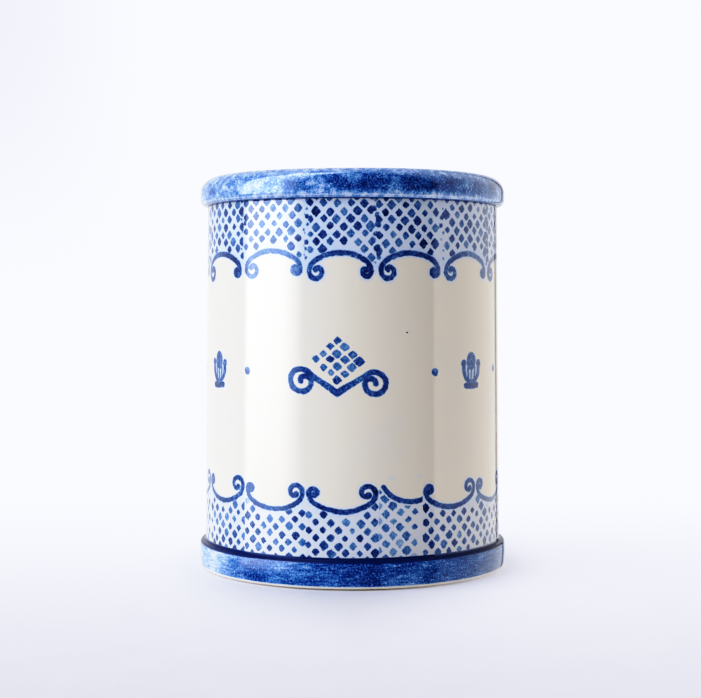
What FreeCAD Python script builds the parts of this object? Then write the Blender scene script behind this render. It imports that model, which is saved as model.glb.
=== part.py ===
"""Hand-built ceramic umbrella stand: a round wall on a floor slab, with a rolled rim and a foot band.

The clay parts are turned about Z. The table is the plane z = 0, and the stand rests on felt pads.
"""

import FreeCAD, Part

import os

import Sketcher

OUT_DIR = "parts"

# Driving dimensions, in millimetres unless the name says otherwise.
SIZES = {
    # Wall: a tube that narrows a little from the table up to the rim.
    "base_radius": 150.0,
    "shoulder_radius": 146.7,
    "shoulder_height": 363.0,
    "wall_thickness": 9.0,
    # Rim: a fat coil, rounded over its outer top edge.
    "rim_height": 29.0,
    "rim_overhang": 7.3,
    "rim_width": 20.0,
    "rim_crown_round": 16.0,
    "rim_mouth_round": 3.0,
    "rim_under_round": 3.0,
    # Plinth: a flat band round the foot of the wall.
    "plinth_height": 25.2,
    "plinth_overhang": 6.1,
    "plinth_top_round": 4.0,
    "plinth_foot_round": 2.2,
    # Floor slab, the foot ring under it, and the coil that seals the inside corner.
    "slab_thickness": 10.0,
    "foot_ring_height": 6.0,
    "foot_ring_width": 20.0,
    "foot_ring_round": 1.5,
    "coil_leg": 10.0,
    "coil_land": 1.2,
    # Felt pads under the foot ring.
    "pad_thickness": 1.5,
    "pad_radius": 8.0,
    "pad_count": 4,
    "first_pad_degrees": 45.0,
}

# A sketch's own axes: the horizontal one, whose first point is the origin, and the axis of turning.
H_AXIS = -1
V_AXIS = -2

# The points of a sketch curve: its first end, its last end and its centre.
FIRST = 1
LAST = 2
CENTRE = 3

# How near an edge's radius and height must be to the ones asked for.
EDGE_TOLERANCE = 0.01

# The least flat left on a face between the rounds at its two edges.
LEAST_FLAT = 0.5

UP = FreeCAD.Vector(0, 0, 1)


def make_sheet(doc):
    """Puts every driving dimension in its own aliased cell of one spreadsheet."""
    sheet = doc.addObject("Spreadsheet::Sheet", "sizes")
    for row, (alias, value) in enumerate(SIZES.items(), start=1):
        sheet.set(f"A{row}", alias)
        sheet.set(f"B{row}", str(value))
        sheet.setAlias(f"B{row}", alias)
    doc.recompute()
    return sheet


def cell(alias):
    """The expression that reads one dimension."""
    return f"sizes.{alias}"


# Heights above the table.
FOOT_BOTTOM = cell("pad_thickness")
SLAB_BOTTOM = f"({FOOT_BOTTOM} + {cell('foot_ring_height')})"
FLOOR = f"({SLAB_BOTTOM} + {cell('slab_thickness')})"
COIL_TOP = f"({FLOOR} + {cell('coil_leg')})"
PLINTH_TOP = f"({FOOT_BOTTOM} + {cell('plinth_height')})"
SHOULDER = cell("shoulder_height")
RIM_TOP = f"({SHOULDER} + {cell('rim_height')})"

# Radii that don't change with height.
ON_AXIS = "0"
PLINTH_OUTER = f"({cell('base_radius')} + {cell('plinth_overhang')})"
RIM_OUTER = f"({cell('shoulder_radius')} + {cell('rim_overhang')})"
MOUTH = f"({RIM_OUTER} - {cell('rim_width')})"


def wall_outer(height):
    """The wall's outer radius at a height, on its straight taper."""
    draft = f"({cell('base_radius')} - {cell('shoulder_radius')})"
    return f"({cell('base_radius')} - {draft} * {height} / {cell('shoulder_height')})"


def wall_inner(height):
    """The wall's inner radius at a height."""
    return f"({wall_outer(height)} - {cell('wall_thickness')})"


def value_of(sheet, expression):
    """The number that an expression of the sheet's cells gives now."""
    return float(sheet.evalExpression(expression))


def new_body(doc, label):
    """An empty body, named and labelled for its sub-part."""
    body = doc.addObject("PartDesign::Body", label)
    body.Label = label
    return body


def origin_plane(body, role):
    """One of the body's own origin planes."""
    return next(f for f in body.Origin.OriginFeatures if f.Role == role)


def new_sketch(body, role, name):
    """A sketch on one of the body's origin planes."""
    sketch = body.newObject("Sketcher::SketchObject", name)
    sketch.AttachmentSupport = [(origin_plane(body, role), "")]
    sketch.MapMode = "FlatFace"
    return sketch


def pin_point(sheet, sketch, geometry, end, across, up):
    """Ties one end of a sketch curve to expressions for its distances from the origin."""
    for kind, expression in (("DistanceX", across), ("DistanceY", up)):
        if expression == ON_AXIS:
            sketch.addConstraint(Sketcher.Constraint("PointOnObject", geometry, end, V_AXIS))
            continue
        amount = value_of(sheet, expression)
        index = sketch.addConstraint(Sketcher.Constraint(kind, H_AXIS, FIRST, geometry, end, amount))
        sketch.setExpression(f"Constraints[{index}]", expression)


def add_profile(sheet, sketch, corners, hollow_after=None, hollow_radius=None):
    """Draws a closed outline through corners, (radius, height) expressions in order.

    The side that starts at corner number hollow_after is a quarter circle, curved in towards the
    corner where its ends' radius and height would meet. The others are straight lines.
    """
    points = [
        FreeCAD.Vector(value_of(sheet, radius), value_of(sheet, height), 0)
        for radius, height in corners
    ]
    count = len(points)
    for i, start in enumerate(points):
        end = points[(i + 1) % count]
        if i == hollow_after:
            centre = FreeCAD.Vector(end.x, start.y, 0)
            outwards = (start - centre) + (end - centre)
            middle = centre + outwards.normalize() * value_of(sheet, hollow_radius)
            sketch.addGeometry(Part.Arc(start, middle, end), False)
        else:
            sketch.addGeometry(Part.LineSegment(start, end), False)
    # An arc's first point is wherever its angle starts, so each curve's ends are looked up.
    for i, corner in enumerate(points):
        before = (i - 1) % count
        ends = []
        for geometry in (before, i):
            off = sketch.getPoint(geometry, FIRST).distanceToPoint(corner)
            ends.append((geometry, FIRST if off < EDGE_TOLERANCE else LAST))
        sketch.addConstraint(Sketcher.Constraint("Coincident", *ends[0], *ends[1]))
        pin_point(sheet, sketch, *ends[1], *corners[i])
    if hollow_after is not None:
        amount = value_of(sheet, hollow_radius)
        index = sketch.addConstraint(Sketcher.Constraint("Radius", hollow_after, amount))
        sketch.setExpression(f"Constraints[{index}]", hollow_radius)


def turned_body(doc, sheet, label, corners, **hollow):
    """A body made by turning a closed outline once round Z."""
    body = new_body(doc, label)
    sketch = new_sketch(body, "XZ_Plane", f"{label}_outline")
    add_profile(sheet, sketch, corners, **hollow)
    turned = body.newObject("PartDesign::Revolution", f"{label}_turned")
    turned.Profile = sketch
    turned.ReferenceAxis = (sketch, ["V_Axis"])
    turned.Angle = 360
    sketch.Visibility = False
    doc.recompute()
    return body


def circular_edge(shape, radius, height):
    """The name of the edge that runs round Z at that radius and height."""
    for i, edge in enumerate(shape.Edges, start=1):
        if not isinstance(edge.Curve, Part.Circle):
            continue
        off = max(abs(edge.Curve.Radius - radius), abs(edge.Curve.Center.z - height))
        if off < EDGE_TOLERANCE:
            return f"Edge{i}"
    raise ValueError(f"no edge at radius {radius:.2f} and height {height:.2f}")


def no_more_than(size, *rooms):
    """A round's size, limited by the room that each face beside it has left."""
    limits = "; ".join(f"{room} - {LEAST_FLAT}" for room in rooms)
    return f"min({size}; {limits})"


def round_edge(doc, sheet, body, name, radius, height, size):
    """Rounds the edge at (radius, height) with a fillet. All three are expressions."""
    base = body.Tip
    edge = circular_edge(base.Shape, value_of(sheet, radius), value_of(sheet, height))
    fillet = body.newObject("PartDesign::Fillet", name)
    fillet.Base = (base, [edge])
    fillet.setExpression("Radius", size)
    doc.recompute()


def make_wall(doc, sheet):
    """The tapered tube that stands on the floor slab and carries the rim."""
    corners = [
        (wall_inner(FLOOR), FLOOR),
        (wall_outer(FLOOR), FLOOR),
        (wall_outer(SHOULDER), SHOULDER),
        (wall_inner(SHOULDER), SHOULDER),
    ]
    return turned_body(doc, sheet, "wall", corners)


def make_rim(doc, sheet):
    """The coil luted to the top of the wall, with its outer top edge rolled over."""
    corners = [
        (MOUTH, SHOULDER),
        (RIM_OUTER, SHOULDER),
        (RIM_OUTER, RIM_TOP),
        (MOUTH, RIM_TOP),
    ]
    body = turned_body(doc, sheet, "rim_coil", corners)
    lip = cell("rim_mouth_round")
    under = no_more_than(cell("rim_under_round"), cell("rim_overhang"))
    crown = no_more_than(
        cell("rim_crown_round"),
        f"{cell('rim_width')} - {lip}",
        f"{cell('rim_height')} - {cell('rim_under_round')}",
    )
    round_edge(doc, sheet, body, "rim_crown", RIM_OUTER, RIM_TOP, crown)
    round_edge(doc, sheet, body, "rim_lip", MOUTH, RIM_TOP, lip)
    round_edge(doc, sheet, body, "rim_under", RIM_OUTER, SHOULDER, under)
    round_edge(doc, sheet, body, "rim_inside", MOUTH, SHOULDER, under)
    return body


def make_plinth(doc, sheet):
    """The flat band luted round the foot. Its inside follows the wall's taper."""
    corners = [
        (wall_outer(FOOT_BOTTOM), FOOT_BOTTOM),
        (PLINTH_OUTER, FOOT_BOTTOM),
        (PLINTH_OUTER, PLINTH_TOP),
        (wall_outer(PLINTH_TOP), PLINTH_TOP),
    ]
    body = turned_body(doc, sheet, "plinth_band", corners)
    top = no_more_than(cell("plinth_top_round"), cell("plinth_overhang"))
    foot = no_more_than(cell("plinth_foot_round"), cell("plinth_overhang"))
    round_edge(doc, sheet, body, "plinth_top", PLINTH_OUTER, PLINTH_TOP, top)
    round_edge(doc, sheet, body, "plinth_foot", PLINTH_OUTER, FOOT_BOTTOM, foot)
    return body


def make_floor_slab(doc, sheet):
    """The disc that closes the bottom, under the wall's full width."""
    corners = [
        (ON_AXIS, SLAB_BOTTOM),
        (wall_outer(SLAB_BOTTOM), SLAB_BOTTOM),
        (wall_outer(FLOOR), FLOOR),
        (ON_AXIS, FLOOR),
    ]
    return turned_body(doc, sheet, "floor_slab", corners)


def make_foot_ring(doc, sheet):
    """The bare ring under the floor slab that lifts it clear of the table."""
    inner = f"({wall_outer(SLAB_BOTTOM)} - {cell('foot_ring_width')})"
    inside = no_more_than(cell("foot_ring_round"), cell("foot_ring_height"))
    corners = [
        (inner, FOOT_BOTTOM),
        (wall_outer(FOOT_BOTTOM), FOOT_BOTTOM),
        (wall_outer(SLAB_BOTTOM), SLAB_BOTTOM),
        (inner, SLAB_BOTTOM),
    ]
    body = turned_body(doc, sheet, "foot_ring", corners)
    round_edge(doc, sheet, body, "foot_ring_inside", inner, FOOT_BOTTOM, inside)
    return body


def make_corner_coil(doc, sheet):
    """The thin coil pressed into the inside corner, hollowed by a finger."""
    hollow = f"({cell('coil_leg')} - {cell('coil_land')})"
    toe = f"({wall_inner(FLOOR)} - {cell('coil_leg')})"
    corners = [
        (wall_inner(FLOOR), FLOOR),
        (wall_inner(COIL_TOP), COIL_TOP),
        (f"({toe} + {hollow})", COIL_TOP),
        (toe, f"({COIL_TOP} - {hollow})"),
        (toe, FLOOR),
    ]
    return turned_body(doc, sheet, "corner_coil", corners, hollow_after=2, hollow_radius=hollow)


def make_pad(doc, sheet, number):
    """One felt disc under the middle of the foot ring's width."""
    label = f"felt_pad_{number}"
    body = new_body(doc, label)
    sketch = new_sketch(body, "XY_Plane", f"{label}_outline")
    across = f"{wall_outer(SLAB_BOTTOM)} - {cell('foot_ring_width')} / 2"
    centre = FreeCAD.Vector(value_of(sheet, across), 0, 0)
    radius = value_of(sheet, cell("pad_radius"))
    circle = sketch.addGeometry(Part.Circle(centre, UP, radius), False)
    index = sketch.addConstraint(Sketcher.Constraint("Radius", circle, radius))
    sketch.setExpression(f"Constraints[{index}]", cell("pad_radius"))
    index = sketch.addConstraint(
        Sketcher.Constraint("DistanceX", H_AXIS, FIRST, circle, CENTRE, centre.x)
    )
    sketch.setExpression(f"Constraints[{index}]", across)
    sketch.addConstraint(Sketcher.Constraint("PointOnObject", circle, CENTRE, H_AXIS))
    pad = body.newObject("PartDesign::Pad", f"{label}_thickness")
    pad.Profile = sketch
    pad.setExpression("Length", cell("pad_thickness"))
    turn = f"{cell('first_pad_degrees')} + 360 * {number - 1} / {cell('pad_count')}"
    body.Placement = FreeCAD.Placement(FreeCAD.Vector(), FreeCAD.Rotation(UP, value_of(sheet, turn)))
    body.setExpression("Placement.Rotation.Angle", turn)
    doc.recompute()
    return body


def check(doc, bodies):
    """Stops if any object failed to recompute or any sub-part isn't one good solid."""
    failed = [o.Name for o in doc.Objects if {"Invalid", "Error"} & set(o.State)]
    if failed:
        raise RuntimeError(f"these objects failed: {failed}")
    for body in bodies:
        shape = body.Shape
        if shape.isNull() or not shape.isValid() or len(shape.Solids) != 1:
            raise RuntimeError(f"{body.Label} isn't one valid solid")


def main():
    doc = FreeCAD.newDocument("umbrella_stand")
    sheet = make_sheet(doc)
    makers = (make_wall, make_rim, make_plinth, make_floor_slab, make_foot_ring, make_corner_coil)
    bodies = [make(doc, sheet) for make in makers]
    pad_count = int(value_of(sheet, cell("pad_count")))
    bodies += [make_pad(doc, sheet, number) for number in range(1, pad_count + 1)]
    doc.recompute()
    check(doc, bodies)
    os.makedirs(OUT_DIR, exist_ok=True)
    for body in bodies:
        body.Shape.exportStep(os.path.join(OUT_DIR, f"{body.Label}.step"))
        print(f"{body.Label}: {body.Shape.Volume / 1000:.1f} cm3")


main()
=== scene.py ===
"""Looks of a hand-built ceramic umbrella stand: cobalt painting in white glaze, in a white studio.

Lengths are in metres. Painted decoration is laid out in millimetres on the wall, along its
girth and up its height, and angles round the stand are in degrees from the front, -Y, towards +X.
"""

import math
from collections import namedtuple

import bpy
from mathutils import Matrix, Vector


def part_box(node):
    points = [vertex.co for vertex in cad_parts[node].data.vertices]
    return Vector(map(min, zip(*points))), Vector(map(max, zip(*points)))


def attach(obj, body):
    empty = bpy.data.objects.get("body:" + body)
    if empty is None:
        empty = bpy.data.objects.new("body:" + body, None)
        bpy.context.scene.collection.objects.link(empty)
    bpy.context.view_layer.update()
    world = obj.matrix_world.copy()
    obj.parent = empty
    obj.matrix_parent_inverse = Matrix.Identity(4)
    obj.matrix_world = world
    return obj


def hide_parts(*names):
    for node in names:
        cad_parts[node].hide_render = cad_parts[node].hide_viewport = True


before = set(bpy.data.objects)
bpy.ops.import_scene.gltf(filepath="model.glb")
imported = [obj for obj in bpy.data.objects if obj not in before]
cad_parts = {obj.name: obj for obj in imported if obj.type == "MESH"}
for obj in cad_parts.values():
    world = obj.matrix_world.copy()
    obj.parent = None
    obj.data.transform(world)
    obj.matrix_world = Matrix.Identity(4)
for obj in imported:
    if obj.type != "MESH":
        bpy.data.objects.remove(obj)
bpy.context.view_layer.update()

MM = 0.001
TURN = 360.0
# Corners closer than this in height lie on one ring.
SAME_HEIGHT = 0.0002

# ---------------------------------------------------------------- sizes from the frame


def radii_at(node, height):
    """The least and greatest distance from the axis of a node's corners at one height."""
    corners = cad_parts[node].data.vertices
    radii = [math.hypot(c.co.x, c.co.y) for c in corners if abs(c.co.z - height) < SAME_HEIGHT]
    return min(radii), max(radii)


WALL_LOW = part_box("wall")[0].z
WALL_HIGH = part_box("wall")[1].z
WALL_LOW_RADII = radii_at("wall", WALL_LOW)
WALL_HIGH_RADII = radii_at("wall", WALL_HIGH)
RIM_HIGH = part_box("rim_coil")[1].z
RIM_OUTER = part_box("rim_coil")[1].x
FOOT_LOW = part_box("plinth_band")[0].z
PLINTH_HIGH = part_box("plinth_band")[1].z
PLINTH_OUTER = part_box("plinth_band")[1].x

# The rim's width, and its rounds: outer upper, inner upper, inner lower and outer lower.
RIM_WIDTH = 0.020
RIM_CROWN = 0.016
RIM_LIP = 0.003
RIM_UNDER = 0.003
RIM_TUCK = 0.0066
# The foot band's rounds, how far it bellies, and the thin tongue that ends its cove.
PLINTH_TOP_ROUND = 0.003
PLINTH_BELLY = 0.0009
PLINTH_BELLY_ROUND = 0.070
PLINTH_COVE = 0.0026
PLINTH_FOOT_ROUND = 0.0022
TONGUE_HEIGHT = 0.005
TONGUE_TIP = 0.0003
TONGUE_ROOT = 0.0008
# The round of edges that nobody sees.
HIDDEN_ROUND = 0.0004

# ---------------------------------------------------------------- turned clay

MERIDIANS = 360
OUTLINE_STEP = 0.005
ARC_STEP = 0.0008
RIDGE_PITCH = 0.0035
RIDGE_HEIGHT = 0.00025
WALL_UNEVEN = 0.00012
RIM_UNEVEN = 0.0003
PLINTH_UNEVEN = 0.00025
MAP_EDGE = 0.004


def rounded(corners):
    """The points of a closed outline whose (radius, height, round) corners become arcs."""
    points = []
    for i, (radius, height, size) in enumerate(corners):
        here = Vector((radius, height))
        to_last = (Vector(corners[i - 1][:2]) - here).normalized()
        to_next = (Vector(corners[(i + 1) % len(corners)][:2]) - here).normalized()
        half = to_last.angle(to_next) / 2
        centre = here + (to_last + to_next).normalized() * size / math.sin(half)
        first = here + to_last * size / math.tan(half) - centre
        last = here + to_next * size / math.tan(half) - centre
        sweep = math.pi - 2 * half
        steps = max(2, math.ceil(sweep * size / ARC_STEP))
        for k in range(steps + 1):
            turn = sweep * k / steps
            mixed = first * math.sin(sweep - turn) + last * math.sin(turn)
            points.append(centre + mixed / math.sin(sweep))
    return points


def divided(points):
    """The same closed outline with its long straight stretches divided."""
    finer = []
    for i, start in enumerate(points):
        end = points[(i + 1) % len(points)]
        steps = max(1, math.ceil((end - start).length / OUTLINE_STEP))
        finer += [start.lerp(end, k / steps) for k in range(steps)]
    return finer


def smooth(value, low, high):
    """0 below low, 1 above high, and a smooth rise between."""
    share = min(1.0, max(0.0, (value - low) / (high - low)))
    return share * share * (3 - 2 * share)


def by_hand(angle, height):
    """How far the clay stands off a true turned shape there: outwards, and up.

    Both are shares of the piece's unevenness, and the angle is in radians from +X.
    """
    out = 0.5 * math.sin(2 * angle + 0.7) + 0.3 * math.sin(3 * angle + 9 * height + 2.1)
    out += 0.2 * math.sin(7 * angle - 14 * height)
    up = 0.6 * math.sin(2 * angle + 2.6) + 0.4 * math.sin(5 * angle + 0.4)
    return out, up


def turned(name, corners, rows, unevenness, inner_share=1.0, ridges=0.0):
    """A closed piece turned round Z from an outline, a little uneven, with its own bake map.

    Corners are (radius, height, round). The map lays the girth out in rows, and inner_share
    shrinks the part of it that the inside takes. ridges is the height of the finger marks
    left inside.
    """
    outline = divided(rounded(corners))
    count = len(outline)
    radii = [point.x for point in outline]
    middle = (min(radii) + max(radii)) / 2
    lengths = [0.0]
    for i, start in enumerate(outline):
        end = outline[(i + 1) % count]
        share = 1.0 if (start.x + end.x) / 2 > middle else inner_share
        lengths.append(lengths[-1] + (end - start).length * share)
    up_map = [length / lengths[-1] for length in lengths]

    points = []
    for j in range(MERIDIANS):
        angle = math.tau * j / MERIDIANS
        for point in outline:
            out, up = by_hand(angle, point.y)
            radius = point.x + unevenness * out
            if point.x < middle:
                radius += ridges * math.sin(point.y / RIDGE_PITCH + 2 * math.sin(angle))
            lift = unevenness * up * smooth(point.y, WALL_HIGH, RIM_HIGH)
            points.append((radius * math.cos(angle), radius * math.sin(angle), point.y + lift))

    faces = []
    maps = []
    columns = MERIDIANS // rows
    inner_map = 1 - 2 * MAP_EDGE
    for j in range(MERIDIANS):
        row, column = divmod(j, columns)
        left = MAP_EDGE + inner_map * column / columns
        right = MAP_EDGE + inner_map * (column + 1) / columns
        here = j * count
        after = (j + 1) % MERIDIANS * count
        for i in range(count):
            above = (i + 1) % count
            faces.append((here + i, after + i, after + above, here + above))
            low = (row + MAP_EDGE + inner_map * up_map[i]) / rows
            high = (row + MAP_EDGE + inner_map * up_map[i + 1]) / rows
            maps += [(left, low), (right, low), (right, high), (left, high)]

    mesh = bpy.data.meshes.new(name)
    mesh.from_pydata(points, [], faces)
    layer = mesh.uv_layers.new(name="OFBake")
    for loop, place in zip(layer.data, maps):
        loop.uv = place
    mesh.shade_smooth()
    piece = bpy.data.objects.new(name, mesh)
    bpy.context.scene.collection.objects.link(piece)
    return piece


# ---------------------------------------------------------------- shader arithmetic


class Field:
    """A number that varies over a surface. Arithmetic on it adds nodes to its material."""

    def __init__(self, tree, socket):
        self.tree = tree
        self.socket = socket

    def apply(self, operation, *others):
        """The outcome of a Math node, with the field as its first number."""
        node = self.tree.nodes.new("ShaderNodeMath")
        node.operation = operation
        for slot, value in zip(node.inputs, (self, *others)):
            plug(self.tree, slot, value)
        return Field(self.tree, node.outputs[0])

    def __add__(self, other):
        return self.apply("ADD", other)

    def __sub__(self, other):
        return self.apply("SUBTRACT", other)

    def __mul__(self, other):
        return self.apply("MULTIPLY", other)

    def __truediv__(self, other):
        return self.apply("DIVIDE", other)

    def __rsub__(self, other):
        return self * -1.0 + other

    def __abs__(self):
        return self.apply("ABSOLUTE")


def plug(tree, slot, value):
    """Links a field to a socket, or sets a plain number on it."""
    if isinstance(value, Field):
        tree.links.new(value.socket, slot)
    else:
        slot.default_value = value


def least(first, *others):
    for other in others:
        first = first.apply("MINIMUM", other)
    return first


def most(first, *others):
    for other in others:
        first = first.apply("MAXIMUM", other)
    return first


def reach(across, up):
    """The length of a step across and up."""
    return (across * across + up * up).apply("SQRT")


def rise(field, low, high):
    """A field's smooth rise from 0 at low to 1 at high. low may be the greater."""
    node = field.tree.nodes.new("ShaderNodeMapRange")
    node.interpolation_type = "SMOOTHSTEP"
    low_first = low < high
    plug(field.tree, node.inputs["Value"], field)
    node.inputs["From Min"].default_value = low if low_first else high
    node.inputs["From Max"].default_value = high if low_first else low
    node.inputs["To Min"].default_value = 0.0 if low_first else 1.0
    node.inputs["To Max"].default_value = 1.0 if low_first else 0.0
    return Field(field.tree, node.outputs["Result"])


def clamped(field, low, high):
    return most(least(field, high), low)


def wrapped(field, low, high):
    """The field moved by whole turns into the range from low to high."""
    return field.apply("WRAP", high, low)


def random_three(first, second, third):
    """Three random numbers from 0 to 1 that depend only on the three given.

    Each use passes constants of its own, so that its draws differ from the others'.
    """
    tree = first.tree
    joined = tree.nodes.new("ShaderNodeCombineXYZ")
    for slot, value in zip(joined.inputs, (first, second, third)):
        plug(tree, slot, value)
    white = tree.nodes.new("ShaderNodeTexWhiteNoise")
    tree.links.new(joined.outputs[0], white.inputs["Vector"])
    parts = tree.nodes.new("ShaderNodeSeparateColor")
    tree.links.new(white.outputs["Color"], parts.inputs[0])
    return [Field(tree, part) for part in parts.outputs]


def ramp(field, stops):
    """Colours from (place, colour) stops along a field."""
    node = field.tree.nodes.new("ShaderNodeValToRGB")
    elements = node.color_ramp.elements
    while len(elements) < len(stops):
        elements.new(1.0)
    for element, (position, colour) in zip(elements, stops):
        element.position = position
        element.color = (*colour, 1.0)
    plug(field.tree, node.inputs[0], field)
    return node.outputs["Color"]


class Surface:
    """A new material and the places that its patterns read, in millimetres and degrees.

    across is along X, depth along Y, and radius and angle are taken round Z.
    """

    def __init__(self, name):
        self.material = bpy.data.materials.new(name)
        self.material.use_nodes = True
        self.tree = self.material.node_tree
        self.shader = self.tree.nodes["Principled BSDF"]
        coordinates = self.tree.nodes.new("ShaderNodeTexCoord")
        scale = self.tree.nodes.new("ShaderNodeVectorMath")
        scale.operation = "SCALE"
        scale.inputs["Scale"].default_value = 1 / MM
        self.tree.links.new(coordinates.outputs["Object"], scale.inputs[0])
        self.place = scale.outputs[0]
        parts = self.tree.nodes.new("ShaderNodeSeparateXYZ")
        self.tree.links.new(self.place, parts.inputs[0])
        x, y, z = [Field(self.tree, part) for part in parts.outputs]
        self.across = x
        self.depth = y
        self.height = z
        self.radius = reach(x, y)
        self.angle = x.apply("ARCTAN2", y * -1.0).apply("DEGREES")

    def noise(self, size, detail=2.0, stretch=None):
        """Three smooth noises, each mostly 0.3 to 0.7, with features of about size millimetres."""
        node = self.tree.nodes.new("ShaderNodeTexNoise")
        node.inputs["Scale"].default_value = 1 / size
        node.inputs["Detail"].default_value = detail
        place = self.place
        if stretch:
            squeeze = self.tree.nodes.new("ShaderNodeVectorMath")
            squeeze.operation = "MULTIPLY"
            squeeze.inputs[1].default_value = stretch
            self.tree.links.new(place, squeeze.inputs[0])
            place = squeeze.outputs[0]
        self.tree.links.new(place, node.inputs["Vector"])
        parts = self.tree.nodes.new("ShaderNodeSeparateColor")
        self.tree.links.new(node.outputs["Color"], parts.inputs[0])
        return [Field(self.tree, part) for part in parts.outputs]

    def colour(self, name, field, stops):
        """Colours one of the shader's sockets by (place, colour) stops along a field."""
        self.tree.links.new(ramp(field, stops), self.shader.inputs[name])

    def relief(self, height_mm):
        """Tilts the surface by a field of small heights in millimetres."""
        bump = self.tree.nodes.new("ShaderNodeBump")
        bump.inputs["Distance"].default_value = MM
        plug(self.tree, bump.inputs["Height"], height_mm)
        self.tree.links.new(bump.outputs[0], self.shader.inputs["Normal"])


# ---------------------------------------------------------------- brush strokes, in millimetres


def line_distance(u, v, start, end):
    """Distance from (u, v) to the straight stroke between two points."""
    across = end[0] - start[0]
    up = end[1] - start[1]
    length = across * across + up * up
    du = u - start[0]
    dv = v - start[1]
    share = clamped(du * (across / length) + dv * (up / length), 0.0, 1.0)
    return reach(du - share * across, dv - share * up)


def scroll_distance(u, v, centre, radii, middle, sweep):
    """Distance from (u, v) to a curl about centre.

    The curl covers sweep degrees, with middle degrees at its middle, and its radius goes from
    radii[0] at its clockwise end to radii[1] at the other.
    """
    turn = math.radians(middle)
    half = math.radians(sweep / 2)
    du = u - centre[0]
    dv = v - centre[1]
    along = du * math.cos(turn) + dv * math.sin(turn)
    across = dv * math.cos(turn) - du * math.sin(turn)
    bearing = clamped(across.apply("ARCTAN2", along), -half, half)
    radius = bearing * ((radii[1] - radii[0]) / (2 * half)) + (radii[0] + radii[1]) / 2
    return reach(along - radius * bearing.apply("COSINE"), across - radius * bearing.apply("SINE"))


# A border's arch, drawn about its top: a round crown, tighter shoulders and curled feet.
ARCH_CROWN = 48.0
ARCH_SHOULDER = 12.0
ARCH_SIDE = 31.0
ARCH_CURL = 6.2
ARCH_CURL_END = 2.6
SHOULDER_U = ARCH_SIDE - ARCH_SHOULDER
SHOULDER_V = math.sqrt((ARCH_CROWN - ARCH_SHOULDER) ** 2 - SHOULDER_U**2) - ARCH_CROWN
CROWN_SPREAD = math.degrees(math.asin(SHOULDER_U / (ARCH_CROWN - ARCH_SHOULDER)))


def arch_distance(u, v, curl):
    """Distance to an arch, mirrored about u = 0, whose curls each end in a small blob.

    curl is the size of its feet, about 1.
    """
    side = abs(u)
    crown = scroll_distance(side, v, (0.0, -ARCH_CROWN), (ARCH_CROWN,) * 2, 90.0, 2 * CROWN_SPREAD)
    sweep = 90.0 - CROWN_SPREAD
    centre = (SHOULDER_U, SHOULDER_V)
    shoulder = scroll_distance(side, v, centre, (ARCH_SHOULDER,) * 2, sweep / 2, sweep)
    curl_u = (side - ARCH_SIDE) / curl
    curl_v = (v - SHOULDER_V) / curl
    centre = (-ARCH_CURL, 0.0)
    foot = scroll_distance(curl_u, curl_v, centre, (ARCH_CURL_END, ARCH_CURL), -150.0, 300.0)
    blob = reach(curl_u + ARCH_CURL - 1.0, curl_v - 1.8) - 0.5
    return least(crown, shoulder, least(foot, blob) * curl)


def dabs(u, v, spacing, seed, size, grain):
    """Brush dabs on a slanting grid, each a rounded diamond, shifted and sized at random.

    Gives how much they cover, how thick their paint is, and where their cells' middles lie.
    """
    a = u / spacing[0] + v / spacing[1]
    b = u / spacing[0] - v / spacing[1]
    a_cell = a.apply("FLOOR")
    b_cell = b.apply("FLOOR")
    shift, grow, load = random_three(a_cell, b_cell, seed)
    across = abs(a - a_cell - 0.5 + (shift - 0.5) * DAB_SHIFT)
    up = abs(b - b_cell - 0.5 + (grow - 0.5) * DAB_SHIFT)
    far = most(across, up) * 0.60 + reach(across, up) * 0.34 + grain * 0.18
    half = (shift * 0.30 + grow * 0.30 + 0.70) * size
    middle = ((a_cell + b_cell + 1.0) * (spacing[0] / 2), (a_cell - b_cell) * (spacing[1] / 2))
    return rise(far - half, DAB_EDGE, -DAB_EDGE), load, middle


def seam_dabs(across, v, seed, grain):
    """Smudged dabs in one uneven column, where two stamps of a border meet."""
    step = v / SEAM_STEP
    cell = step.apply("FLOOR")
    shift, drop, load = random_three(cell, seed, 31.0)
    off = across + (shift - 0.5) * 6.0
    far = reach(off, (step - cell - 0.5 + (drop - 0.5) * 0.4) * SEAM_STEP)
    weak = rise(random_three(seed, 7.0, 2.0)[0], 0.9, 0.3) * 2.0
    return rise(far + grain * 2.4 - load * 1.6 + weak, 3.2, 1.8) * (load * 0.5 + 0.25)


# ---------------------------------------------------------------- glazes

# The glaze's colour by the depth of cobalt in it, where 1 is a mid blue.
COBALT = [
    (0.00, (0.800, 0.735, 0.560)),
    (0.05, (0.660, 0.690, 0.690)),
    (0.12, (0.540, 0.650, 0.800)),
    (0.30, (0.310, 0.455, 0.700)),
    (0.60, (0.120, 0.270, 0.560)),
    (1.00, (0.045, 0.155, 0.400)),
    (1.60, (0.013, 0.065, 0.250)),
    (2.30, (0.004, 0.025, 0.130)),
    (3.00, (0.001, 0.009, 0.065)),
]
THICKEST = COBALT[-1][0]
# How many of these are washes too thin to turn grey under the brush.
THIN = 3
# How that cobalt colours what the glaze mirrors.
COBALT_MIRROR = [(0.0, (1.0, 1.0, 1.0)), (0.3, (0.70, 0.80, 1.0)), (1.0, (0.40, 0.56, 1.0))]

# The heights that the painting keeps to: the bottom, the foot band's ledge and the rim's
# underside.
FOOT_MM = FOOT_LOW / MM
LEDGE_MM = PLINTH_HIGH / MM
RIM_MM = WALL_HIGH / MM
# A radius that lies between the wall's inside and its outside at every height.
WALL_MIDDLE_MM = 142.5

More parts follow.
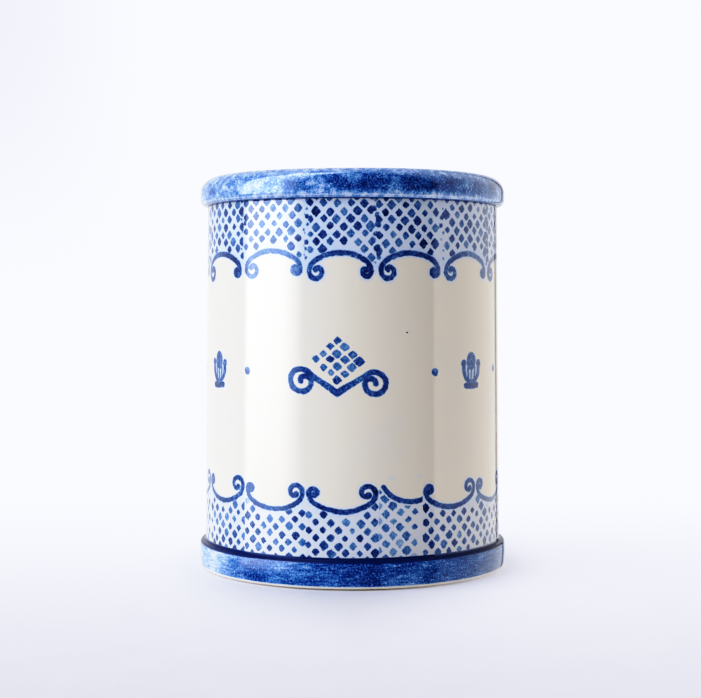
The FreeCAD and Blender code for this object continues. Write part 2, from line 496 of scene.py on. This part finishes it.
# A border's brush: half a stroke's width, a dab's half width as a share of its grid cell, the
# strength of the smudges between stamps, and the depth of the wash under the dabs.
Brush = namedtuple("Brush", "half dab smudge wash")
UPPER_BRUSH = Brush(half=2.4, dab=0.315, smudge=1.0, wash=0.035)
LOWER_BRUSH = Brush(half=2.25, dab=0.295, smudge=0.0, wash=0.02)
DAB_SPACING = (13.6, 14.2)
DAB_SHIFT = 0.16
DAB_EDGE = 0.035
SEAM_STEP = 7.5

# Of the borders: the angles where the rows start, the width of the join in degrees, the
# heights of the arches' crowns, and how long one degree of the girth is in the drawing.
ARCHES = 13
UPPER_CUSP = 9.6
UPPER_TOP = RIM_MM - 48.5
LOWER_CUSP = 9.5
LOWER_JOIN = 16.7
LOWER_BOTTOM = LEDGE_MM + 47.1
LOWER_SEED = 40.0
BORDER_DEGREE = 2.58


def wall_glaze():
    """White glaze with two painted borders, a frieze between them and a navy line at the foot."""
    s = Surface("wall_glaze")
    broad = s.noise(28.0, 1.0)
    fine = s.noise(3.2, 2.0)
    grit = s.noise(0.9, 2.0)[0]
    angle = s.angle + (broad[0] - 0.5) * 0.9 + (fine[0] - 0.5) * 0.45
    height = s.height + (broad[1] - 0.5) * 2.4 + (fine[1] - 0.5) * 1.1
    grain = (fine[2] - 0.5) * 1.0 + (grit - 0.5) * 0.9

    upper = upper_border(angle, height, grain)
    lower = lower_border(angle, height, grain)
    middle = frieze(angle, height, grain)
    thickness = (grit - 0.5) * 5.0 + (fine[1] - 0.5) * 4.0 + (broad[2] - 0.5) * 2.0 + 2.5
    paint = most(upper, lower, middle) * most(thickness, 0.4)
    foot_line = rise(s.height, LEDGE_MM + 3.5, LEDGE_MM + 2.5) * 2.6
    paint = most(paint, foot_line, flaw(s.angle, s.height))
    outside = rise(s.radius, WALL_MIDDLE_MM - 0.5, WALL_MIDDLE_MM + 0.5)
    colours = COBALT[:THIN] + [muted(*stop) for stop in COBALT[THIN:]]
    finish_glaze(s, paint * outside, colours)
    return s.material


def muted(amount, colour):
    """A stop of the cobalt colours as the brush leaves it, greyer than on the rim."""
    red, green, blue = colour
    return amount, (red + (blue - red) * 0.05, green, blue * 0.84)


def stroke(distance, half, grain):
    """Paint of a stroke, from the distance to its middle line."""
    return rise(distance + grain, half + 0.7, half - 0.7)


def border(u, v, seed, width, brush, grain):
    """One border stamp of a width: an arch with dabs outside it. v grows away from its feet."""
    half = brush.half
    side = u.apply("SIGN")
    odd, shade = random_three(seed, side, 3.0)[:2]
    distance = arch_distance(u, v, odd * 0.25 + 0.85 - side * 0.22)
    line = stroke(distance, half, grain * 1.5) * (shade * 0.25 + 0.55)
    slide_u, slide_v, tone = random_three(seed, 5.0, 8.0)
    slide_u = (slide_u - 0.5) * 8.0
    slide_v = (slide_v - 0.5) * 8.0
    cover, load, middle = dabs(u + slide_u, v + slide_v, DAB_SPACING, seed, brush.dab, grain)
    middle_u = middle[0] - slide_u
    middle_v = middle[1] - slide_v
    kept = rise(outside_arch(middle_u, middle_v), half + 2.2, half + 2.8)
    kept = kept * rise(abs(middle_u), width / 2 - 1.0, width / 2 - 1.8)
    spots = cover * kept * (load * 0.55 + tone * 0.15 + 0.28)
    seam_seed = wrapped(seed + side * 0.5, 0.5, ARCHES + 0.5)
    seam = seam_dabs((abs(u) - width / 2) * side, v, seam_seed, grain)
    outside = outside_arch(u, v)
    spots = most(spots, seam * brush.smudge * rise(outside, half + 0.8, half + 2.4))
    tint = (rise(outside, -5.0, 4.0) + rise(distance, 7.0, 1.0) * 0.7) * brush.wash
    return most(line, spots * rise(distance, half, half + 1.2)) + tint


def outside_arch(u, v):
    """How far a place lies outside the circle of an arch's crown."""
    return reach(u, most(v + ARCH_CROWN, 0.0)) - ARCH_CROWN


def upper_border(angle, height, grain):
    """Thirteen unevenly spaced arches that hang below the rim, with the dabs above them."""
    uneven = (angle * 2.0 - 10.0).apply("RADIANS").apply("SINE") * 1.9 + 0.8
    turn = (angle + uneven - UPPER_CUSP) / (TURN / ARCHES)
    stamp = turn.apply("FLOOR")
    width = TURN / ARCHES * BORDER_DEGREE
    u = (turn - stamp - 0.5) * width
    seed = wrapped(stamp, 0.0, float(ARCHES))
    lift = random_three(seed, 1.0, 1.0)[0]
    v = height - UPPER_TOP - (lift - 0.5) * 4.0
    return border(u, v, seed, width, UPPER_BRUSH, grain)


def lower_border(angle, height, grain):
    """Thirteen arches standing on their heads above the foot band, and one short join.

    The join lies between the first and the last, where the row didn't come out even.
    """
    turn = wrapped(angle - LOWER_CUSP, 0.0, TURN)
    step = (TURN - LOWER_JOIN) / ARCHES
    width = step * BORDER_DEGREE
    steps = (turn - LOWER_JOIN) / step
    stamp = steps.apply("FLOOR")
    u = (steps - stamp - 0.5) * width
    lift = random_three(stamp, 2.0, 2.0)[0]
    v = (height - LOWER_BOTTOM) * -1.0 - (lift - 0.5) * 2.5
    stamped = border(u * -1.0, v, stamp + LOWER_SEED, width, LOWER_BRUSH, grain)
    whole = rise(turn, LOWER_JOIN - 0.1, LOWER_JOIN + 0.1)
    return stamped * whole + join(turn * BORDER_DEGREE, height, grain) * (1.0 - whole)


# The join's sagging stroke is part of a circle. Its places are millimetres from the left end
# of the join, and heights.
SAG_CENTRE = (31.0, 113.0)
SAG_RADIUS = 32.0
SLIP_HEIGHT = 104.0
JOIN_SEED = 77.0


def join(u, height, grain):
    """The short join in the lower border: a sagging stroke, smudged dabs and two pale slips."""
    sag = scroll_distance(u, height, SAG_CENTRE, (SAG_RADIUS,) * 2, -100.0, 94.0)
    line = stroke(sag, LOWER_BRUSH.half, grain) * 0.6
    cover, load, middle = dabs(u, height, DAB_SPACING, JOIN_SEED, LOWER_BRUSH.dab, grain * 1.5)
    cover = cover * rise(middle[0], 38.5, 37.5)
    outside = reach(u - SAG_CENTRE[0], least(height - SAG_CENTRE[1], 0.0)) - SAG_RADIUS
    low = rise(height, 95.0, 90.0)
    spots = cover * rise(outside, 3.3, 4.3) * (load * 0.4 + 0.12)
    wash = rise(outside, -5.0, 4.0) * low * LOWER_BRUSH.wash
    up = height - SLIP_HEIGHT
    slips = least(reach(u - 11.6, up * 1.6), reach(u - 40.0, up * 1.3))
    pale = rise(slips + grain * 2.5, 5.0, 1.0) * 0.012
    return most(line, spots * low) + pale + wash


FLAW_ANGLE = 20.1
FLAW_HEIGHT = 238.9


def flaw(angle, height):
    """One dark speck in the glaze."""
    far = reach((angle - FLAW_ANGLE) * BORDER_DEGREE, (height - FLAW_HEIGHT) * 1.5)
    return rise(far, 1.2, 0.7) * 3.0


# Of the frieze: the front motif's angle, the height of its V's tip, how motifs slope, how long
# one degree of the girth is in the drawing, and how many degrees from a motif its dots are.
FRIEZE_FRONT = -5.3
FRIEZE_REPEATS = 3
FRIEZE_LOW = 182.6
FRIEZE_SLOPE = 0.035
FRIEZE_DEGREE = 2.36
DOT_ANGLE = 40.0
# The diamond's dabs: how far across and up the next one is, and how high the lowest.
DIAMOND_STEP = (6.73, 6.08)
DIAMOND_LOW = 12.4
DIAMOND_SEED = 21.0


def frieze(angle, height, grain):
    """Scroll-and-lattice motifs with a dot each side and a bud between them."""
    off = angle - FRIEZE_FRONT
    uneven = off.apply("RADIANS").apply("SINE") * 5.1
    unit = TURN / FRIEZE_REPEATS
    local = wrapped(off + uneven, -unit / 2, unit / 2)
    u = local * FRIEZE_DEGREE
    v = height - FRIEZE_LOW
    side = abs(u)
    return most(
        motif(u, side, v + u * FRIEZE_SLOPE, grain),
        dot(side - DOT_ANGLE * FRIEZE_DEGREE, v - 19.5, grain),
        bud(side * -1.0 + unit / 2 * FRIEZE_DEGREE, v - 1.0, grain),
    )


def motif(u, side, v, grain):
    """Two scrolls joined in a V, with a diamond of four by four dabs in it."""
    arm = line_distance(side, v, (-4.0, -2.7), (28.0, 18.9))
    scroll = scroll_distance(side, v, (34.6, 10.0), (9.2, 11.2), -26.5, 307.0)
    tip = scroll_distance(side, v, (30.9, 10.0), (4.6, 5.5), 90.0, 180.0)
    line = stroke(least(arm, scroll, tip) - rise(side, 14.0, 0.0) * 0.7, 2.5, grain * 1.4) * 0.66
    spacing = (2 * DIAMOND_STEP[0], 2 * DIAMOND_STEP[1])
    up = v - DIAMOND_LOW
    a = u / spacing[0] + up / spacing[1]
    b = u / spacing[0] - up / spacing[1]
    inside = most(abs(a - 1.5), abs(b + 1.5))
    size = rise(u, -20.0, 20.0) * 0.09 + 0.29
    cover, load = dabs(u + DIAMOND_STEP[0], up, spacing, DIAMOND_SEED, size, grain)[:2]
    spots = cover * rise(inside, 2.05, 1.95) * (load * 0.45 + 0.32)
    return most(line, spots)


def dot(across, up, grain):
    """One dab, thickest along its lower edge."""
    far = reach(across, up * 0.9)
    return rise(far + grain * 1.2, 4.0, 2.6) * (rise(up, 3.0, -2.5) * 0.5 + 0.4)


def bud(across, v, grain):
    """Half of a bud on a short foot; across grows from its middle."""
    sepal = scroll_distance(across, v, (-2.5, 20.5), (14.0, 14.0), -28.0, 72.0)
    tip = reach(across - 11.4, v - 25.0) - 2.0
    rib = line_distance(across, v, (4.2, 9.0), (5.4, 21.0))
    stem = line_distance(across, v, (0.0, 4.0), (0.0, 19.0))
    foot = line_distance(across, v, (0.0, 3.0), (8.4, 3.6))
    petal = reach(across * 1.2, v - 27.0) - 8.5
    cup = rise(reach(across, v - 17.0) + grain, 12.0, 9.0)
    return most(
        stroke(sepal, 2.4, grain) * 0.7,
        stroke(tip, 1.6, grain) * 0.7,
        stroke(least(rib, stem), 1.1, grain) * 0.6,
        stroke(foot, 2.8, grain) * 0.85,
        rise(petal + grain, 0.6, -0.6) * 0.6,
        cup * 0.06,
    )


def finish_glaze(s, paint, colours=COBALT):
    """Glossy clear glaze over white clay. paint is the depth of the cobalt in it."""
    cloud = s.noise(45.0, 2.0)[0]
    freckle = s.noise(1.6, 1.0)[1]
    specks = rise(freckle, 0.78, 0.82) * 0.2
    depth = paint + specks + (cloud - 0.5) * 0.03
    stops = [(amount / THICKEST, colour) for amount, colour in colours]
    s.colour("Base Color", depth / THICKEST, stops)
    s.colour("Specular Tint", paint, COBALT_MIRROR)
    s.shader.inputs["Roughness"].default_value = 0.07
    s.shader.inputs["IOR"].default_value = 1.5
    ripple = s.noise(16.0, 1.0)[2] * 0.10 + s.noise(5.0, 1.0)[0] * 0.008
    s.relief(ripple + least(paint, 1.5) * 0.01)


def rim_glaze():
    """Cobalt sponged on the rim: navy where the sponge was full, lighter at both edges.

    Its lowest edge, against the wall, carries a painted shadow line in deep navy.
    """
    s = Surface("rim_glaze")
    blotch = s.noise(26.0, 2.0, (1.0, 1.0, 2.2))[0]
    patch = s.noise(6.0, 3.0)[0]
    grit = s.noise(1.6, 3.0)[0]
    refill = ((s.angle - 30.0) * 2.0).apply("RADIANS").apply("COSINE") * 0.15
    up = s.height - RIM_MM
    band = rise(up, 3.5, 11.0) * rise(up, 28.5, 17.0)
    full = rise(blotch + refill, 0.40, 0.75)
    paint = band * (full * 1.5 + 0.1) + 0.45 + (patch - 0.5) * 2.4
    paint = most(paint, 0.15) * ((grit - 0.5) * 3.8 + 1.0)
    lip = rise(abs(up - 3.2), 0.8, 0.2) * 0.6
    # Painted shade: a deep navy line along the rim's lowest edge, where it meets the wall.
    seam = rise(up, 1.4, 0.6) * 2.2
    finish_glaze(s, most(paint * (1.0 - lip), seam))
    return s.material


def plinth_glaze():
    """Cobalt brushed along the foot band and wiped off at its foot.

    On its ledge the glaze is thick, and towards the wall it mirrors little.
    """
    s = Surface("plinth_glaze")
    blotch = s.noise(40.0, 1.0)[0]
    streak = s.noise(3.0, 3.0, (0.25, 0.25, 1.6))[0]
    grit = s.noise(1.6, 3.0)[0]
    load = (blotch - 0.5) * 2.4 + (streak - 0.5) * 3.0 + 1.25
    # Painted highlight: the cobalt thins towards the band's left side, where the soft box lights
    # it.
    painted_highlight = rise(s.angle, -30.0, -65.0) * 0.6
    paint = most(load - painted_highlight, 0.2) * ((grit - 0.5) * 3.6 + 1.1) * (1.0 - painted_highlight)
    ledge = rise(s.height, LEDGE_MM - 2.1, LEDGE_MM - 1.3)
    wiped = rise(s.height, FOOT_MM + 1.9, FOOT_MM + 3.1)
    finish_glaze(s, most(paint, ledge * 2.8) * wiped)
    outer = PLINTH_OUTER / MM
    pooled = ledge * rise(s.radius, outer - 0.8, outer - 1.8)
    plug(s.tree, s.shader.inputs["Specular IOR Level"], pooled * -0.33 + 0.38)
    return s.material


def plain_glaze():
    """White glaze with no painting, for the inside."""
    s = Surface("plain_glaze")
    smear = s.noise(12.0, 3.0)[0]
    finish_glaze(s, rise(smear, 0.62, 0.8) * 0.1)
    return s.material


def bare_clay():
    """Unglazed stoneware, with fine grog in it."""
    s = Surface("bare_clay")
    grog = s.noise(0.9, 3.0)[0]
    stain = s.noise(14.0, 2.0)[1]
    tone = clamped(grog * 0.6 + stain * 0.5, 0.0, 1.0)
    colours = [(0.3, (0.50, 0.43, 0.34)), (0.55, (0.68, 0.61, 0.51)), (0.8, (0.78, 0.73, 0.64))]
    s.colour("Base Color", tone, colours)
    s.shader.inputs["Roughness"].default_value = 0.85
    s.relief(grog * 0.25)
    return s.material


def felt():
    """Charcoal felt, matted from short fibres."""
    s = Surface("felt")
    fibre = s.noise(0.5, 4.0, (0.5, 1.0, 2.0))[0]
    tuft = s.noise(2.5, 2.0)[1]
    tone = clamped(fibre * 0.7 + tuft * 0.4, 0.0, 1.0)
    colours = [(0.3, (0.020, 0.020, 0.022)), (0.7, (0.075, 0.075, 0.08))]
    s.colour("Base Color", tone, colours)
    s.shader.inputs["Roughness"].default_value = 0.95
    s.shader.inputs["Sheen Weight"].default_value = 0.4
    s.relief(fibre * 0.3)
    return s.material


# ---------------------------------------------------------------- pieces


def stand_in(piece, node, material):
    """Puts a finished piece in the place of a CAD node."""
    piece.data.materials.append(material)
    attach(piece, "root")
    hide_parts(node)


def wall_outside(height):
    """The wall's outer radius at a height, on its straight taper."""
    share = (height - WALL_LOW) / (WALL_HIGH - WALL_LOW)
    return WALL_LOW_RADII[1] + share * (WALL_HIGH_RADII[1] - WALL_LOW_RADII[1])


def make_wall(material):
    """The wall, straight and tapered, with finger ridges inside."""
    corners = [
        (WALL_LOW_RADII[0], WALL_LOW, HIDDEN_ROUND),
        (WALL_LOW_RADII[1], WALL_LOW, HIDDEN_ROUND),
        (WALL_HIGH_RADII[1], WALL_HIGH, HIDDEN_ROUND),
        (WALL_HIGH_RADII[0], WALL_HIGH, HIDDEN_ROUND),
    ]
    piece = turned("glazed_wall", corners, 2, WALL_UNEVEN, inner_share=0.25, ridges=RIDGE_HEIGHT)
    stand_in(piece, "wall", material)


def make_rim(material):
    """The rim coil, more rounded under its outer edge than the CAD solid."""
    mouth = RIM_OUTER - RIM_WIDTH
    corners = [
        (mouth, WALL_HIGH, RIM_UNDER),
        (RIM_OUTER, WALL_HIGH, RIM_TUCK),
        (RIM_OUTER, RIM_HIGH, RIM_CROWN),
        (mouth, RIM_HIGH, RIM_LIP),
    ]
    piece = turned("glazed_rim", corners, 3, RIM_UNEVEN)
    stand_in(piece, "rim_coil", material)


def make_plinth(material):
    """The foot band, a little bellied, with the glaze pooled in a cove against the wall.

    The cove runs up into a thin tongue whose tip lies inside the wall.
    """
    middle = (FOOT_LOW + PLINTH_HIGH) / 2
    foot = wall_outside(FOOT_LOW)
    ledge = wall_outside(PLINTH_HIGH)
    corners = [
        (foot, FOOT_LOW, HIDDEN_ROUND),
        (PLINTH_OUTER - PLINTH_BELLY, FOOT_LOW, PLINTH_FOOT_ROUND),
        (PLINTH_OUTER, middle, PLINTH_BELLY_ROUND),
        (PLINTH_OUTER - PLINTH_BELLY, PLINTH_HIGH, PLINTH_TOP_ROUND),
        (ledge, PLINTH_HIGH, PLINTH_COVE),
        (ledge - TONGUE_TIP, PLINTH_HIGH + TONGUE_HEIGHT, HIDDEN_ROUND / 4),
        (ledge - TONGUE_ROOT, PLINTH_HIGH, HIDDEN_ROUND / 4),
    ]
    piece = turned("glazed_plinth", corners, 3, PLINTH_UNEVEN)
    stand_in(piece, "plinth_band", material)


def paint_node(node, material):
    """Gives a CAD node that keeps its shape a finished material."""
    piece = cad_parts[node]
    piece.data.materials.clear()
    piece.data.materials.append(material)


# ---------------------------------------------------------------- studio

# The camera that the photograph's outlines call for. Lens and sensor are in millimetres.
CAMERA_DISTANCE = 1.5285
CAMERA_HEIGHT = 0.2694
CAMERA_PITCH = 1.89
CAMERA_YAW = 0.073
FOCAL_LENGTH = 76.77
SENSOR_WIDTH = 36.0


def make_camera():
    """A camera in front of the stand, pitched a little down."""
    data = bpy.data.cameras.new("camera")
    data.sensor_width = SENSOR_WIDTH
    data.lens = FOCAL_LENGTH
    camera = bpy.data.objects.new("camera", data)
    camera.location = (0.0, -CAMERA_DISTANCE, CAMERA_HEIGHT)
    camera.rotation_euler = (math.radians(90 - CAMERA_PITCH), 0.0, math.radians(CAMERA_YAW))
    bpy.context.scene.collection.objects.link(camera)
    bpy.context.scene.camera = camera


# The place in Blender's list of the curve that all three colours share.
ALL_CHANNELS = 3
# How the picture's brightness follows the light: dark tones deepened, and whites held back.
TONE_CURVE = [
    (0.0, 0.0),
    (0.05, 0.022),
    (0.2, 0.17),
    (0.5, 0.49),
    (0.8, 0.79),
    (1.1, 0.93),
    (1.5, 1.0),
]


def set_exposure():
    """Develops the picture by the tone curve, for red, green and blue alike."""
    view = bpy.context.scene.view_settings
    view.view_transform = "Standard"
    view.use_curve_mapping = True
    brightest = TONE_CURVE[-1][0]
    view.curve_mapping.white_level = (brightest,) * 3
    curve = view.curve_mapping.curves[ALL_CHANNELS]
    while len(curve.points) < len(TONE_CURVE):
        curve.points.new(0.5, 0.5)
    for point, (light, tone) in zip(curve.points, TONE_CURVE):
        point.location = (light / brightest, tone)
    view.curve_mapping.update()


def at(azimuth, distance, height):
    """A place round the stand, at an azimuth in degrees from the front towards +X."""
    turn = math.radians(azimuth)
    return Vector((distance * math.sin(turn), -distance * math.cos(turn), height))


BACKDROP = (1.20, 1.23, 1.50)
FLOOR_RADIUS = 6.0
FLOOR_CORNERS = 96


def make_floor():
    """A pale floor that glows like the backdrop behind the stand and far out.

    Round the stand's foot it glows less, so that the shadow shows.
    """
    mesh = bpy.data.meshes.new("floor")
    ring = [at(TURN * k / FLOOR_CORNERS, FLOOR_RADIUS, 0.0) for k in range(FLOOR_CORNERS)]
    mesh.from_pydata(ring, [], [tuple(range(FLOOR_CORNERS))])
    floor = bpy.data.objects.new("floor", mesh)
    bpy.context.scene.collection.objects.link(floor)
    s = Surface("floor")
    dust = s.noise(60.0, 2.0)[0]
    tones = [(0.3, (0.81, 0.775, 0.73)), (0.7, (0.84, 0.80, 0.75))]
    s.colour("Base Color", dust, tones)
    s.shader.inputs["Roughness"].default_value = 0.6
    glow = s.tree.nodes.new("ShaderNodeEmission")
    glow.inputs["Color"].default_value = (*BACKDROP, 1.0)
    mixed = s.tree.nodes.new("ShaderNodeMixShader")
    # Behind and in front of the foot the glow starts farther out than at its sides.
    clear = rise(s.radius + abs(s.across), 150.0, 430.0)
    behind = rise(s.depth, -900.0, 650.0) * clear
    far_out = rise(s.radius, 2200.0, 4500.0)
    plug(s.tree, mixed.inputs["Fac"], most(behind, far_out))
    s.tree.links.new(s.shader.outputs[0], mixed.inputs[1])
    s.tree.links.new(glow.outputs[0], mixed.inputs[2])
    s.tree.links.new(mixed.outputs[0], s.tree.nodes["Material Output"].inputs["Surface"])
    floor.data.materials.append(s.material)
    floor.visible_glossy = False


# The studio's colour by azimuth: as soft light on the stand, and as mirrored in its glaze.
SOFT_LIGHT = [
    (-180, (0.30, 0.32, 0.38)),
    (-100, (0.15, 0.15, 0.17)),
    (-90, (2.20, 2.49, 3.42)),
    (-46, (3.00, 3.40, 4.65)),
    (-36, (1.70, 1.86, 2.50)),
    (-10, (0.70, 0.64, 0.62)),
    (15, (0.11, 0.06, 0.01)),
    (80, (0.11, 0.06, 0.01)),
    (110, (0.70, 0.67, 0.68)),
    (125, (1.08, 1.10, 1.22)),
    (165, (1.08, 1.10, 1.22)),
    (180, (0.30, 0.32, 0.38)),
]
MIRRORED = [
    (-180, (0.12, 0.12, 0.12)),
    (-92, (0.12, 0.12, 0.12)),
    (-87, (1.40, 1.40, 1.40)),
    (-56, (1.40, 1.40, 1.40)),
    (-38, (0.01, 0.01, 0.01)),
    (20, (0.004, 0.004, 0.003)),
    (65.2, (0.002, 0.002, 0.002)),
    (65.8, (0.20, 0.19, 0.18)),
    (110, (0.23, 0.225, 0.22)),
    (150, (0.14, 0.14, 0.14)),
    (153, (0.01, 0.01, 0.01)),
    (156, (0.01, 0.01, 0.01)),
    (159, (0.10, 0.10, 0.10)),
    (180, (0.10, 0.10, 0.10)),
]
MIRRORED_STRENGTH = 10.0


def azimuth_light(azimuth, stops, strength):
    """A background whose colour depends on the azimuth, from (azimuth, colour) stops."""
    tree = azimuth.tree
    round_stops = [(degrees / TURN + 0.5, colour) for degrees, colour in stops]
    light = tree.nodes.new("ShaderNodeBackground")
    tree.links.new(ramp(azimuth / TURN + 0.5, round_stops), light.inputs["Color"])
    plug(tree, light.inputs["Strength"], strength)
    return light.outputs[0]


def make_world():
    """A white studio with a soft box at the left, a reflector at the right, and a dim front.

    The camera itself sees only the backdrop, a little darker high at the left.
    """
    world = bpy.data.worlds.new("studio")
    bpy.context.scene.world = world
    world.use_nodes = True
    tree = world.node_tree
    coordinates = tree.nodes.new("ShaderNodeTexCoord")
    parts = tree.nodes.new("ShaderNodeSeparateXYZ")
    tree.links.new(coordinates.outputs["Generated"], parts.inputs[0])
    x, y, up = [Field(tree, part) for part in parts.outputs]
    azimuth = x.apply("ARCTAN2", y * -1.0).apply("DEGREES")
    soft = azimuth_light(azimuth, SOFT_LIGHT, rise(up, -0.3, 0.1))
    # Where the soft box is mirrored, it fades out downwards.
    soft_box = rise(azimuth, -93.0, -87.0) * rise(azimuth, 0.0, -40.0)
    below = rise(up, 0.06, -0.26)
    mirrored = azimuth_light(azimuth, MIRRORED, (1.0 - soft_box * below) * MIRRORED_STRENGTH)
    seen = tree.nodes["Background"]
    seen.inputs["Color"].default_value = (*BACKDROP, 1.0)
    shade = rise(x, -0.12, -0.24) * rise(up, -0.02, 0.2)
    plug(tree, seen.inputs["Strength"], 1.0 - shade * 0.22)
    path = tree.nodes.new("ShaderNodeLightPath")
    light = soft
    for ray, background in (("Is Glossy Ray", mirrored), ("Is Camera Ray", seen.outputs[0])):
        mixed = tree.nodes.new("ShaderNodeMixShader")
        tree.links.new(path.outputs[ray], mixed.inputs["Fac"])
        tree.links.new(light, mixed.inputs[1])
        tree.links.new(background, mixed.inputs[2])
        light = mixed.outputs[0]
    tree.links.new(light, tree.nodes["World Output"].inputs["Surface"])


# ---------------------------------------------------------------- the scene

set_exposure()
make_camera()
make_world()
make_floor()

make_wall(wall_glaze())
make_rim(rim_glaze())
make_plinth(plinth_glaze())
inside = plain_glaze()
paint_node("floor_slab", inside)
paint_node("corner_coil", inside)
paint_node("foot_ring", bare_clay())
pad_felt = felt()
for node in sorted(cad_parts):
    if node.startswith("felt_pad"):
        paint_node(node, pad_felt)
